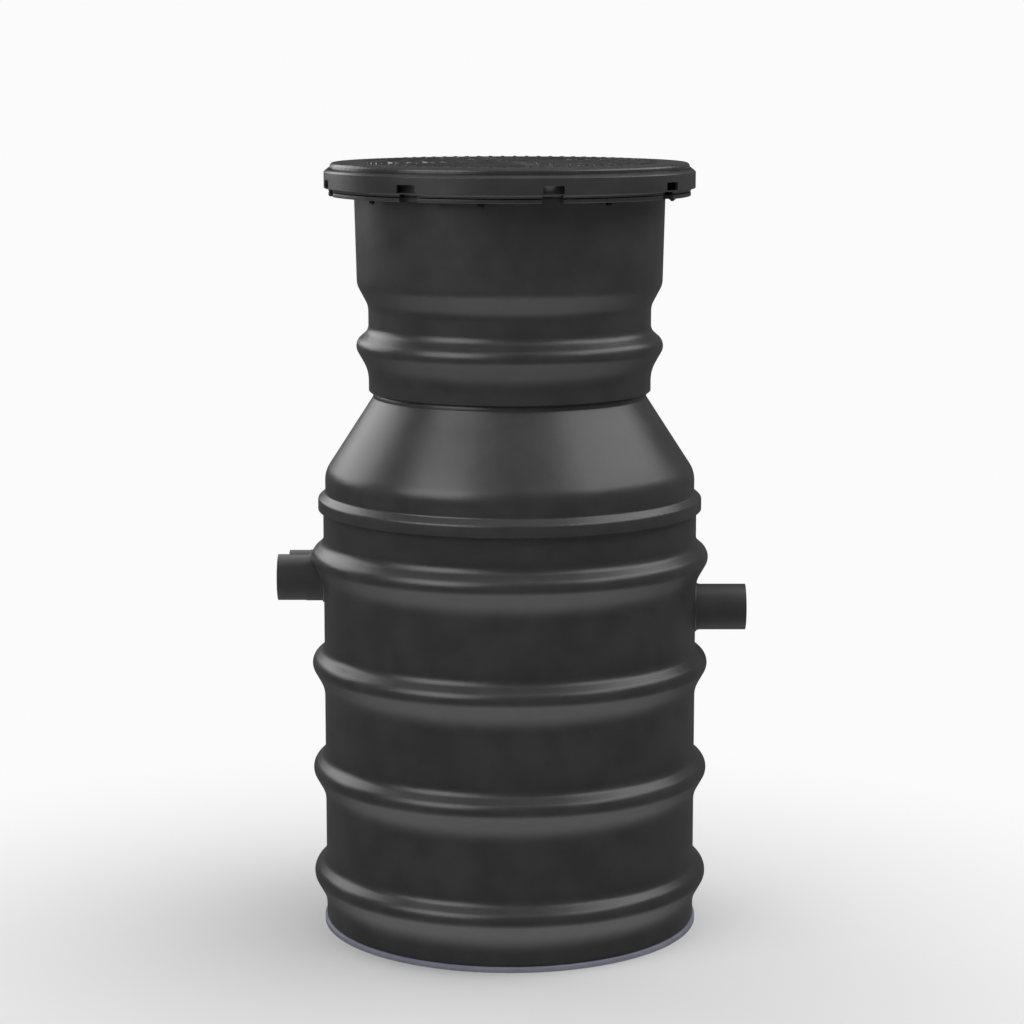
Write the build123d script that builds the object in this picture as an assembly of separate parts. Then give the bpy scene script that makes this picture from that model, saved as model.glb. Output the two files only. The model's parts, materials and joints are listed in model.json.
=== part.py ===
from build123d import *
import math
import os

# A free-standing grease separator in moulded black polyethylene, in millimetres.
# The tank's axis is Z, the underside of the base plate is Z = 0, the inlet points
# along -X and the outlet along +X.

# Base plate and drum
plate_margin = 5.0
plate_thick = 12.0
plate_bevel = 1.5
drum_radius = 445.0
wall = 8.0
foot_blend = 4.0
drum_above_rib = 89.0

# Moulded ribs: two straight flanks, blended to the wall and to each other
rib_count = 4
rib_pitch = 255.0
first_crease_height = 175.0
rib_reach = 34.6
rib_upper_run = 40.7
rib_lower_run = 62.5
rib_nose_blend = 27.0
rib_upper_blend = 20.0
rib_lower_blend = 85.0

# Shoulder cone with the collar that caps the drum
collar_gap = 0.5
collar_thick = 11.2
collar_lap = 19.0
collar_above_drum = 7.5
collar_round = 9.0
collar_slope_rise = 14.0
shoulder_wall = 9.0
shoulder_set_in = 5.3
shoulder_foot_blend = 6.0
shoulder_upright = 47.2
cone_foot_blend = 64.0
cone_rise = 178.5
cone_run = 115.7
spigot_blend = 4.0
spigot_height = 53.8
joint_seal_thick = 4.0

# Seal in the groove of the spigot
seal_groove_deep = 4.0
seal_groove_high = 12.0
seal_below_rim = 30.0

# Neck
neck_gap = 2.0
neck_lap = 40.0
neck_lip_bevel = 2.0
crease_above_lip = 157.0
flare_above_crease = 45.2
flare_foot_blend = 52.0
flare_rise = 49.6
flare_reach = 26.3
flare_top_blend = 45.0
mouth_rise = 208.2
mouth_draft = 5.0
stop_ring_reach = 10.0
stop_ring_thick = 8.0
flange_reach = 59.5
flange_thick = 9.5
flange_edge_blend = 2.0

# Cover frame
frame_wall = 6.0
gasket_thick = 2.0
skirt_overhang = 10.9
skirt_above_flange = 8.5
skirt_height = 38.0
rim_height = 9.0
rim_width = 10.7
rim_chamfer = 3.3
seat_below_rim = 18.0
seat_width = 30.0
foot_width = 23.0
foot_thick = 6.5
frame_edge_blend = 1.5
skirt_top_blend = 2.0

# Windows in the frame's skirt, with slots below them through the flange
window_count = 8
window_first_angle = -77.0
window_width = 49.0
window_height = 18.0
window_depth = 30.0
slot_depth = 25.0
ledge_thick = 3.0

# Frame bolts, washers and nuts
bolt_count = 8
bolt_turn = 22.5
bolt_radius = 4.0
bolt_clearance = 0.5
hex_across = 13.0
head_thick = 5.5
nut_thick = 6.5
washer_radius = 8.0
washer_thick = 1.6
thread_beyond_nut = 3.0

# Cover
cover_above_rim = 12.0
cover_gap = 4.0
cover_draft = 2.0
cover_plate = 7.0
cover_rim_width = 12.0
cover_edge_blend = 3.0
cover_seal_thick = 3.0
cover_seal_inset = 2.0
cover_lift_gap = 0.3
centring_gap = 3.0
centring_wall = 7.0
centring_drop = 9.0
cover_rib_count = 8
cover_rib_thick = 6.0
cover_hub_radius = 45.0

# Treads on the cover: eight sectors between radial bars
tread_high = 3.5
tread_wide = 9.0
tread_long = 34.0
field_margin = 76.0
field_bar_inner = 62.0
stud_ring_wide = 31.0
tread_rows = 6
tread_gap = 20.0
stud_count = 72
stud_size = 8.0

# Locking screws in the cover and their inserts in the frame
cover_screw_count = 4
screw_from_edge = 12.0
cover_boss_radius = 9.5
cover_head_radius = 6.5
cover_head_pocket = 7.8
cover_screw_reach = 20.0
insert_radius = 6.0
insert_bore_gap = 0.3
insert_boss_radius = 8.5
insert_long = 14.0

# Pipe stubs, thicker at the root where they are welded through the wall
drain_radius = 55.0
drain_wall = 4.2
root_extra = 1.0
root_inside = 8.0
inlet_height = 838.0
inlet_reach = 110.0
inlet_root = 42.0
outlet_fall = 72.0
outlet_reach = 120.0
outlet_root = 8.0
weld_leg = 3.0
weld_thick = 2.5

# Vent stub beside the inlet
vent_radius = 37.5
vent_wall = 3.0
vent_above_inlet = 10.5
vent_offset = 101.0
vent_reach = 90.0
vent_root = 38.0
vent_inside = 21.0

# Tees and drop pipes inside the tank
tee_from_wall = 145.0
tee_arm = 118.0
tee_wall = 3.6
socket_deep = 60.0
socket_gap = 0.3
socket_wall = 5.0
bead_wide = 13.0
bead_reach = 4.0
bead_from_mouth = 8.0
tee_seal_wide = 7.0
tee_seal_deep = 4.5
pipe_stop_gap = 4.0
inlet_drop_bottom = 500.0
outlet_drop_bottom = 250.0

# Clips that hold the drop pipes to the tank wall
clip_wall = 5.0
clip_high = 24.0
clip_arm_wide = 30.0
clip_opening = 84.0
clip_above_end = 30.0
clip_spacing = 220.0

# Radii that follow from the sizes above
plate_radius = drum_radius + plate_margin
collar_inner = drum_radius + collar_gap
collar_radius = collar_inner + collar_thick
shoulder_radius = drum_radius - shoulder_set_in
spigot_radius = shoulder_radius - cone_run
neck_radius = spigot_radius + neck_gap + wall
neck_mouth_base = neck_radius + flare_reach
neck_mouth_radius = neck_mouth_base + mouth_draft
neck_mouth_inner = neck_mouth_radius - wall
flange_radius = neck_mouth_radius + flange_reach
skirt_radius = flange_radius + skirt_overhang
recess_radius = skirt_radius - rim_width
seat_inner = recess_radius - seat_width
bolt_circle = seat_inner - foot_width / 2
cover_radius = recess_radius - cover_gap
cover_screw_circle = cover_radius - screw_from_edge
field_radius = cover_radius - field_margin
tread_row_pitch = (field_radius - field_bar_inner - stud_ring_wide) / tread_rows
tee_distance = drum_radius - tee_from_wall

# Heights that follow from the sizes above
drum_top = first_crease_height + (rib_count - 1) * rib_pitch + drum_above_rib
collar_bottom = drum_top - collar_lap
collar_round_at = drum_top + collar_above_drum
shoulder_foot = collar_round_at + collar_slope_rise
cone_foot = shoulder_foot + shoulder_upright
spigot_foot = cone_foot + cone_rise
spigot_top = spigot_foot + spigot_height
neck_bottom = spigot_top - neck_lap
neck_crease = neck_bottom + crease_above_lip
flare_foot = neck_crease + flare_above_crease
flare_top = flare_foot + flare_rise
flange_bottom = flare_top + mouth_rise
flange_top = flange_bottom + flange_thick
frame_bottom = flange_top + gasket_thick
skirt_bottom = flange_top + skirt_above_flange
skirt_top = skirt_bottom + skirt_height
rim_top = skirt_top + rim_height
seat_height = rim_top - seat_below_rim
cover_bottom = seat_height + cover_seal_thick + cover_lift_gap
cover_top = rim_top + cover_above_rim
outlet_height = inlet_height - outlet_fall
vent_height = inlet_height + vent_above_inlet


def profile_face(corners):
    """A closed outline of (radius, height, blend) corners as a flat face."""
    points = [(radius, height) for radius, height, _ in corners]
    blends = [blend for _, _, blend in corners]
    return make_face(FilletPolyline(*points, radius=blends, close=True))


def turned(face):
    """A flat face in radius and height, turned about the tank's axis."""
    return revolve(Plane.XZ * face, Axis.Z)


def ring(inner, outer, bottom, top):
    """A plain ring about the tank's axis."""
    size = outer - inner
    return turned(Pos((inner + outer) / 2, (bottom + top) / 2) * Rectangle(size, top - bottom))


def column(radius, bottom, top, x=0.0, y=0.0):
    """An upright cylinder between two heights."""
    middle = (bottom + top) / 2
    return Pos(x, y, middle) * Cylinder(radius, top - bottom)


def rod(radius, start, end, y, z):
    """A cylinder along X between two stations."""
    return Pos((start + end) / 2, y, z) * Rot(Y=90) * Cylinder(radius, abs(end - start))


def around(count, first_angle):
    """Turns that place copies evenly about the tank's axis."""
    return [Rot(Z=first_angle + 360.0 / count * index) for index in range(count)]


def hex_block(across, bottom, top, x):
    """A hexagonal head or nut standing at a distance from the axis."""
    outline = RegularPolygon(across / 2, 6, major_radius=False)
    return Pos(x, 0, bottom) * extrude(outline, top - bottom)


def rib_corners(radius, crease):
    """The three corners of one rib below its crease: foot, nose and upper root."""
    root = crease - rib_upper_blend * math.tan(math.atan(rib_reach / rib_upper_run) / 2)
    nose = root - rib_upper_run
    return [
        (radius, nose - rib_lower_run, rib_lower_blend),
        (radius + rib_reach, nose, rib_nose_blend),
        (radius, root, rib_upper_blend),
    ]


def hollow(outer, thickness, bottom, top):
    """The right half of a moulded wall of even thickness, cut off at two heights."""
    whole = outer + mirror(outer, Plane.YZ)
    cavity = offset(whole, -thickness, kind=Kind.INTERSECTION)
    keep = Pos(skirt_radius, (bottom + top) / 2) * Rectangle(2 * skirt_radius, top - bottom)
    return (outer - cavity) & keep


def drum_outline():
    """Half outline of the drum, carried past its open top."""
    corners = [(0, plate_thick, 0), (drum_radius, plate_thick, foot_blend)]
    for index in range(rib_count):
        corners += rib_corners(drum_radius, first_crease_height + index * rib_pitch)
    beyond = drum_top + 3 * wall
    return corners + [(drum_radius, beyond, 0), (0, beyond, 0)]


def pipe_hole(radius, height, y, side):
    """The hole that a pipe needs through one side of the drum."""
    return rod(radius, side * drum_radius / 2, side * (drum_radius + 2 * rib_reach), y, height)


def weld_collar(solid_drum, radius, height, y, side):
    """A low weld bead that follows the drum's outer face around a pipe."""
    grown = turned(offset(profile_face(drum_outline()), weld_thick))
    bead = pipe_hole(radius + weld_leg, height, y, side) & grown
    return bead - solid_drum - pipe_hole(radius, height, y, side)


def make_drum():
    """The drum's closed outer form and the moulded shell with its pipe holes."""
    outline = profile_face(drum_outline())
    solid_drum = turned(outline)
    shell = turned(hollow(outline, wall, plate_thick, drum_top))
    shell -= pipe_hole(drain_radius + root_extra, inlet_height, 0, -1)
    shell -= pipe_hole(drain_radius + root_extra, outlet_height, 0, 1)
    shell -= pipe_hole(vent_radius + root_extra, vent_height, vent_offset, -1)
    return solid_drum, shell


def make_base_plate():
    """Flat round plate that the drum stands on."""
    corners = [
        (0, 0, 0),
        (plate_radius, 0, 0),
        (plate_radius, plate_thick - plate_bevel, 0),
        (plate_radius - plate_bevel, plate_thick, 0),
        (0, plate_thick, 0),
    ]
    return turned(profile_face(corners))


def make_shoulder():
    """Collar, cone and upright spigot in one moulding of even wall."""
    roof = drum_top + joint_seal_thick
    slope = math.atan((shoulder_radius - spigot_radius) / cone_rise)
    inner_shift = shoulder_wall * math.tan(slope / 2)
    groove_top = spigot_top - seal_below_rim + seal_groove_high
    groove_bottom = spigot_top - seal_below_rim
    groove_radius = spigot_radius - seal_groove_deep
    corners = [
        (collar_inner, collar_bottom, 0),
        (collar_radius, collar_bottom, 0),
        (collar_radius, collar_round_at, collar_round),
        (shoulder_radius, shoulder_foot, shoulder_foot_blend),
        (shoulder_radius, cone_foot, cone_foot_blend),
        (spigot_radius, spigot_foot, spigot_blend),
        (spigot_radius, groove_bottom, 0),
        (groove_radius, groove_bottom, 0),
        (groove_radius, groove_top, 0),
        (spigot_radius, groove_top, 0),
        (spigot_radius, spigot_top, 0),
        (spigot_radius - shoulder_wall, spigot_top, 0),
        (spigot_radius - shoulder_wall, spigot_foot - inner_shift, 0),
        (shoulder_radius - shoulder_wall, cone_foot - inner_shift, cone_foot_blend - shoulder_wall),
        (shoulder_radius - shoulder_wall, roof, 0),
        (collar_inner, roof, 0),
    ]
    return turned(profile_face(corners))


def make_joint_seal():
    """Flat rubber ring between the drum's top edge and the shoulder."""
    return ring(drum_radius - wall, drum_radius, drum_top, drum_top + joint_seal_thick)


def make_riser_seal():
    """Rubber ring that fills the spigot's groove and meets the neck."""
    bottom = spigot_top - seal_below_rim
    return ring(spigot_radius - seal_groove_deep, neck_radius - wall, bottom, bottom + seal_groove_high)


def make_neck():
    """Moulded neck: socket, one rib, flare, drafted mouth and flange."""
    corners = [(0, neck_bottom - 3 * wall, 0), (neck_radius, neck_bottom - 3 * wall, 0)]
    corners += rib_corners(neck_radius, neck_crease)
    corners += [
        (neck_radius, flare_foot, flare_foot_blend),
        (neck_mouth_base, flare_top, flare_top_blend),
        (neck_mouth_radius, flange_bottom, 0),
        (neck_mouth_radius, flange_top + 3 * wall, 0),
        (0, flange_top + 3 * wall, 0),
    ]
    neck = turned(hollow(profile_face(corners), wall, neck_bottom, flange_top))
    neck += turned(
        profile_face(
            [
                (neck_mouth_inner, flange_bottom, 0),
                (flange_radius, flange_bottom, flange_edge_blend),
                (flange_radius, flange_top, flange_edge_blend),
                (neck_mouth_inner, flange_top, 0),
            ]
        )
    )
    stop_inner = neck_radius - wall - stop_ring_reach
    neck += ring(stop_inner, neck_radius - wall / 2, spigot_top, spigot_top + stop_ring_thick)
    lip = neck.edges().filter_by(GeomType.CIRCLE).group_by(Axis.Z)[0].sort_by(SortBy.RADIUS)[-1]
    neck = chamfer(lip, neck_lip_bevel)
    return neck - slots() - bolt_holes(bolt_radius + bolt_clearance)


def slots():
    """Cutters for the slots through the flange and the frame's lower ring."""
    high = skirt_bottom - flange_bottom + wall
    cutter = Pos(flange_radius, 0, skirt_bottom - high / 2)
    cutter *= Box(2 * slot_depth, window_width, high)
    return [turn * cutter for turn in around(window_count, window_first_angle)]


def windows():
    """Cutters for the windows in the frame's skirt, above the ledge."""
    bottom = skirt_bottom + ledge_thick
    cutter = Pos(skirt_radius, 0, bottom + window_height / 2)
    cutter *= Box(2 * window_depth, window_width, window_height)
    return [turn * cutter for turn in around(window_count, window_first_angle)]


def bolt_holes(radius):
    """Cutters for the bolts through flange, gasket and frame."""
    hole = column(radius, flange_bottom - wall, frame_bottom + foot_thick + wall, bolt_circle)
    return [turn * hole for turn in around(bolt_count, window_first_angle + bolt_turn)]


def screw_places():
    """Turns that place the cover's locking screws between the windows."""
    return around(cover_screw_count, window_first_angle + bolt_turn)


def make_frame_gasket():
    """Flat rubber ring under the frame's foot."""
    inner = seat_inner - foot_width + gasket_thick
    gasket = ring(inner, seat_inner + frame_wall, flange_top, frame_bottom)
    return gasket - bolt_holes(bolt_radius + bolt_clearance)


def make_frame():
    """Frame with a channel section: bolted foot, cover seat, rim and windowed skirt."""
    leg_outer = seat_inner + frame_wall
    lower_ring_inner = flange_radius - frame_wall
    foot_inner = seat_inner - foot_width
    foot_top = frame_bottom + foot_thick
    skirt_inner = skirt_radius - frame_wall
    under_seat = seat_height - frame_wall
    corners = [
        (foot_inner, frame_bottom, 0),
        (leg_outer, frame_bottom, 0),
        (leg_outer, under_seat, 0),
        (skirt_inner, under_seat, 0),
        (skirt_inner, skirt_bottom + ledge_thick, 0),
        (lower_ring_inner, skirt_bottom + ledge_thick, 0),
        (lower_ring_inner, frame_bottom, 0),
        (flange_radius, frame_bottom, frame_edge_blend),
        (flange_radius, skirt_bottom, 0),
        (skirt_radius, skirt_bottom, frame_edge_blend),
        (skirt_radius, skirt_top, skirt_top_blend),
        (skirt_radius - rim_chamfer, skirt_top + rim_chamfer, skirt_top_blend),
        (recess_radius, rim_top, 0),
        (recess_radius, seat_height, 0),
        (seat_inner, seat_height, 0),
        (seat_inner, foot_top, 0),
        (foot_inner, foot_top, 0),
    ]
    frame = turned(profile_face(corners))
    boss = column(insert_boss_radius, seat_height - insert_long, seat_height, cover_screw_circle)
    frame += [turn * boss for turn in screw_places()]
    seat = column(insert_radius, seat_height - insert_long - 1, seat_height + 1, cover_screw_circle)
    frame -= [turn * seat for turn in screw_places()]
    return frame - windows() - slots() - bolt_holes(bolt_radius + bolt_clearance)


def make_frame_bolts():
    """Hexagon bolts through the frame's foot, from inside the neck."""
    head_bottom = frame_bottom + foot_thick + washer_thick
    shank_end = flange_bottom - washer_thick - nut_thick - thread_beyond_nut
    bolt = hex_block(hex_across, head_bottom, head_bottom + head_thick, bolt_circle)
    bolt += column(bolt_radius, shank_end, head_bottom, bolt_circle)
    return Compound([turn * bolt for turn in around(bolt_count, window_first_angle + bolt_turn)])


def make_frame_washers():
    """Washers above the frame's foot and below the flange."""
    washers = []
    for bottom in (frame_bottom + foot_thick, flange_bottom - washer_thick):
        washer = column(washer_radius, bottom, bottom + washer_thick, bolt_circle)
        washer -= column(bolt_radius, bottom - 1, bottom + washer_thick + 1, bolt_circle)
        washers += [turn * washer for turn in around(bolt_count, window_first_angle + bolt_turn)]
    return Compound(washers)


def make_frame_nuts():
    """Nuts under the flange."""
    top = flange_bottom - washer_thick
    nut = hex_block(hex_across, top - nut_thick, top, bolt_circle)
    nut -= column(bolt_radius, top - 2 * nut_thick, top + nut_thick, bolt_circle)
    return Compound([turn * nut for turn in around(bolt_count, window_first_angle + bolt_turn)])


def make_screw_inserts():
    """Threaded brass inserts pressed into the frame's bosses."""
    bottom = seat_height - insert_long
    insert = column(insert_radius, bottom, seat_height, cover_screw_circle)
    insert -= column(bolt_radius + insert_bore_gap, bottom - 1, seat_height + 1, cover_screw_circle)
    return Compound([turn * insert for turn in screw_places()])


def make_cover_seal():
    """Flat rubber ring on the frame's seat."""
    seal = ring(seat_inner + cover_seal_inset, recess_radius - cover_seal_inset,
                seat_height, seat_height + cover_seal_thick)
    hole = column(bolt_radius + 1, seat_height - 1, seat_height + 2 * cover_seal_thick, cover_screw_circle)
    return seal - [turn * hole for turn in screw_places()]


def treads():
    """Raised bars in sectors and an outer ring of studs, all on the cover's top."""
    pieces = []
    bar_long = field_radius - 2 * tread_row_pitch / 3 - field_bar_inner
    bar = Pos(field_bar_inner + bar_long / 2, 0) * Box(bar_long, tread_wide, tread_high)
    pieces += [turn * bar for turn in around(window_count, window_first_angle)]
    sector = 360.0 / window_count
    for row in range(tread_rows):
        radius = field_bar_inner + tread_row_pitch * (row + 0.5)
        arc = math.radians(sector) * radius - 2 * tread_gap
        across = max(1, int((arc + tread_gap / 2) // (tread_long + tread_gap / 2)))
        for index in range(across):
            turn = math.degrees((index - (across - 1) / 2) * (tread_long + tread_gap / 2) / radius)
            block = Pos(radius, 0) * Box(tread_wide, tread_long, tread_high)
            middle = window_first_angle + sector / 2
            pieces += [step * block for step in around(window_count, middle + turn)]
    stud = Pos(field_radius - stud_size / 2, 0) * Box(stud_size, stud_size, tread_high)
    pieces += [turn * stud for turn in around(stud_count, window_first_angle)]
    lift = Pos(0, 0, cover_top + tread_high / 2)
    return [lift * piece for piece in pieces]


def make_cover():
    """Ribbed cover plate with a drafted rim, a centring ring and treads."""
    foot_radius = cover_radius + cover_draft
    plate_bottom = cover_top - cover_plate
    corners = [
        (0, plate_bottom, 0),
        (foot_radius - cover_rim_width, plate_bottom, 0),
        (foot_radius - cover_rim_width, cover_bottom, 0),
        (foot_radius, cover_bottom, 0),
        (cover_radius, cover_top, cover_edge_blend),
        (0, cover_top, 0),
    ]
    cover = turned(profile_face(corners))
    centring_outer = seat_inner - centring_gap
    ring_bottom = seat_height - centring_drop
    centring_inner = centring_outer - centring_wall
    cover += ring(centring_inner, centring_outer, ring_bottom, plate_bottom)
    cover += ring(cover_hub_radius - centring_wall, cover_hub_radius, ring_bottom, plate_bottom)
    rib_long = centring_inner - cover_hub_radius + centring_wall
    rib_high = plate_bottom - ring_bottom
    rib = Pos(cover_hub_radius + rib_long / 2 - centring_wall / 2, 0, plate_bottom - rib_high / 2)
    rib *= Box(rib_long, cover_rib_thick, rib_high)
    cover += [turn * rib for turn in around(cover_rib_count, window_first_angle)]
    boss = column(cover_boss_radius, cover_bottom, plate_bottom, cover_screw_circle)
    cover += [turn * boss for turn in screw_places()]
    cover += treads()
    hole = column(bolt_radius + bolt_clearance, cover_bottom - 1, cover_top + 1, cover_screw_circle)
    pocket = column(cover_head_pocket, cover_top - cover_plate, cover_top + 1, cover_screw_circle)
    return cover - [turn * (hole + pocket) for turn in screw_places()]


def make_cover_screws():
    """Captive socket screws that lock the cover to the frame."""
    head_bottom = cover_top - cover_plate
    head = column(cover_head_radius, head_bottom, head_bottom + head_thick, cover_screw_circle)
    shank = column(bolt_radius, cover_bottom - cover_screw_reach, head_bottom, cover_screw_circle)
    socket = hex_block(bolt_radius + 1, head_bottom + head_thick / 2, cover_top, cover_screw_circle)
    screw = head + shank - socket
    return Compound([turn * screw for turn in screw_places()])


def make_stub(solid_drum, radius, thickness, height, y, side, reach, root_long, inner_end):
    """A pipe stub with a plain free end, welded at its thicker root through the drum wall."""
    end = drum_radius + reach
    root = radius + root_extra
    stub = rod(radius, side * inner_end, side * end, y, height)
    stub += rod(root, side * (drum_radius - wall - root_inside), side * (drum_radius + root_long), y, height)
    stub += weld_collar(solid_drum, root, height, y, side)
    return stub - rod(radius - thickness, side * (inner_end - wall), side * (end + wall), y, height)


def socket_mouth():
    """Stations of a tee's socket along its arm: its stop and its mouth."""
    return tee_arm - socket_deep, tee_arm


def make_tee(height, side):
    """A swept tee with a socket towards the wall, one below and an open top."""
    body = drain_radius + tee_wall
    bore = drain_radius - drain_wall
    stop, mouth = socket_mouth()
    socket = drain_radius + socket_gap
    axis_x = side * tee_distance
    arm = Pos(0, 0, mouth / 2) * Cylinder(body, mouth)
    arm += Pos(0, 0, (stop + mouth) / 2) * Cylinder(socket + socket_wall, mouth - stop)
    bead_at = mouth - bead_from_mouth - bead_wide / 2
    arm += Pos(0, 0, bead_at) * Cylinder(socket + socket_wall + bead_reach, bead_wide)
    hollow_arm = Pos(0, 0, mouth / 2) * Cylinder(bore, mouth)
    hollow_arm += Pos(0, 0, (stop + mouth) / 2) * Cylinder(socket, mouth - stop)
    hollow_arm += Pos(0, 0, bead_at) * Cylinder(drain_radius + tee_seal_deep, tee_seal_wide)
    turns = [Rot(Y=180), Rot(Y=90 * side)]
    outer = column(body, 0, tee_arm)
    bores = column(bore, -1, tee_arm + 1)
    for turn in turns:
        outer += turn * arm
        bores += turn * hollow_arm
    return Pos(axis_x, 0, height) * (outer - bores)


def make_tee_seals(height, side):
    """The two lip rings in the tee's sockets."""
    _, mouth = socket_mouth()
    seal = Cylinder(drain_radius + tee_seal_deep, tee_seal_wide) - Cylinder(drain_radius, tee_seal_wide)
    seal = Pos(0, 0, mouth - bead_from_mouth - bead_wide / 2) * seal
    place = Pos(side * tee_distance, 0, height)
    return Compound([place * turn * seal for turn in (Rot(Y=180), Rot(Y=90 * side))])


def make_drop_pipe(height, side, bottom):
    """The pipe that hangs from a tee's lower socket."""
    stop, _ = socket_mouth()
    top = height - stop - pipe_stop_gap
    x = side * tee_distance
    pipe = column(drain_radius, bottom, top, x)
    return pipe - column(drain_radius - drain_wall, bottom - 1, top + 1, x)


def make_clip(height, side):
    """A snap clip around a drop pipe, on an arm welded to the drum's inside."""
    x = side * tee_distance
    outer = drain_radius + clip_wall
    inside = drum_radius - wall
    low, high = height - clip_high / 2, height + clip_high / 2
    arm_long = inside - tee_distance
    arm = Pos(x + side * arm_long / 2, 0, height) * Box(arm_long, clip_arm_wide, clip_high)
    clip = (arm & column(inside, low, high)) + column(outer, low, high, x)
    gap = Pos(x - side * outer / 2, 0, height) * Box(outer, clip_opening, 2 * clip_high)
    return clip - gap - column(drain_radius, low - 1, high + 1, x)


def main():
    os.makedirs("parts", exist_ok=True)
    solid_drum, shell = make_drum()
    stub_inner = tee_distance + socket_mouth()[0] + pipe_stop_gap
    vent_inner = drum_radius - vent_inside
    inlet_clip_height = inlet_drop_bottom + clip_above_end
    lower_clip_height = outlet_drop_bottom + clip_above_end
    parts = {
        "base_plate": make_base_plate(),
        "tank_shell": shell,
        "tank_joint_seal": make_joint_seal(),
        "shoulder_cone": make_shoulder(),
        "riser_seal": make_riser_seal(),
        "riser_neck": make_neck(),
        "frame_gasket": make_frame_gasket(),
        "cover_frame": make_frame(),
        "frame_bolts": make_frame_bolts(),
        "frame_washers": make_frame_washers(),
        "frame_nuts": make_frame_nuts(),
        "screw_inserts": make_screw_inserts(),
        "cover_seal": make_cover_seal(),
        "cover": make_cover(),
        "cover_screws": make_cover_screws(),
        "inlet_pipe": make_stub(
            solid_drum, drain_radius, drain_wall, inlet_height, 0, -1,
            inlet_reach, inlet_root, stub_inner,
        ),
        "outlet_pipe": make_stub(
            solid_drum, drain_radius, drain_wall, outlet_height, 0, 1,
            outlet_reach, outlet_root, stub_inner,
        ),
        "vent_pipe": make_stub(
            solid_drum, vent_radius, vent_wall, vent_height, vent_offset, -1,
            vent_reach, vent_root, vent_inner,
        ),
        "inlet_tee": make_tee(inlet_height, -1),
        "inlet_tee_seals": make_tee_seals(inlet_height, -1),
        "inlet_drop_pipe": make_drop_pipe(inlet_height, -1, inlet_drop_bottom),
        "inlet_clip": make_clip(inlet_clip_height, -1),
        "outlet_tee": make_tee(outlet_height, 1),
        "outlet_tee_seals": make_tee_seals(outlet_height, 1),
        "outlet_drop_pipe": make_drop_pipe(outlet_height, 1, outlet_drop_bottom),
        "outlet_clip_upper": make_clip(lower_clip_height + clip_spacing, 1),
        "outlet_clip_lower": make_clip(lower_clip_height, 1),
    }
    for name, shape in parts.items():
        export_step(shape, f"parts/{name}.step")
        print(name, round(shape.volume))


main()
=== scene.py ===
import bmesh
import bpy
import json
import math
import numpy as np
from mathutils import Matrix, Quaternion, Vector


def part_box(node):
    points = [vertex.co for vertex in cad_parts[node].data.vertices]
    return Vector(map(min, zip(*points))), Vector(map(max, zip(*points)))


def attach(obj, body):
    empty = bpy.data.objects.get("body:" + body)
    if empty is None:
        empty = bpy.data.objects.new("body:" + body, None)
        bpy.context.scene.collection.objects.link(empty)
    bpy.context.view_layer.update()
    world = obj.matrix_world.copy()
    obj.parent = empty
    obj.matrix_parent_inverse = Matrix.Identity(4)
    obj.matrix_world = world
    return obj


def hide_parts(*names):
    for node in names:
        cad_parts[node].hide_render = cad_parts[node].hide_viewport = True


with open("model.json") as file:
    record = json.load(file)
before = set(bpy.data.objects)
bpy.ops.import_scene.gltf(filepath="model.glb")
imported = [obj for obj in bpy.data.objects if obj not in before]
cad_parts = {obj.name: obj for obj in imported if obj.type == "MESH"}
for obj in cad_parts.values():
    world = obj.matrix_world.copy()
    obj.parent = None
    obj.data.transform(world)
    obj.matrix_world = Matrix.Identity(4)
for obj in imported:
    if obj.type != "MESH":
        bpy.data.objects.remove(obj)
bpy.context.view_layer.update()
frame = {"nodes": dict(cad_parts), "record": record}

# %% [markdown]
# A grease separator is a tall plastic tank that stands in a cellar or in the ground and holds
# back the fat in kitchen waste water. Its big pieces are moulded in black polyethylene, so they
# are round, even-walled shells. The solid model is already loaded by the lines above, in metres,
# with the tank's axis on Z and the underside of the base plate at Z = 0. This script gives those
# solids their smooth faces, their small details and their finish, and it moves none of them.

# %% Sizes that the pieces below share
MM = 0.001
node = frame["nodes"]
for name in sorted(node):
    low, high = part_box(name)
    size = [round((high[axis] - low[axis]) / MM) for axis in range(3)]
    print(f"{name:20s} {size} mm")


# %% [markdown]
# Moulded and extruded plastic is never one flat colour. It has a faint grain, slightly cloudy
# gloss and a few fine marks. Such a finish is a little sum of noise patterns, so it helps to write
# shader maths as ordinary sums. The small class below wraps one socket of the shader's node tree,
# and every sum, difference or product with it adds one Math node. Only the forms that the finishes
# use are there: sums, a number minus a value, and a value times a number or another value.

# %% Shader values that can be added and multiplied
class Value:
    """One output socket. Sums and products with it add Math nodes to the tree."""

    def __init__(self, finish, socket):
        self.finish = finish
        self.socket = socket

    def joined(self, operation, first, second):
        """The result of one Math operation on two values or numbers."""
        return self.finish.add("ShaderNodeMath", {"operation": operation}, {0: first, 1: second})

    def __add__(self, other):
        return self.joined("ADD", self, other)

    def __radd__(self, other):
        return self.joined("ADD", other, self)

    def __rsub__(self, other):
        return self.joined("SUBTRACT", other, self)

    def __mul__(self, other):
        return self.joined("MULTIPLY", self, other)

    def between(self, low, high):
        """0 below low, 1 above high and a smooth step from one to the other."""
        settings = {"interpolation_type": "SMOOTHSTEP", "clamp": True}
        return self.finish.add("ShaderNodeMapRange", settings, {0: self, 1: low, 2: high})


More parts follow.
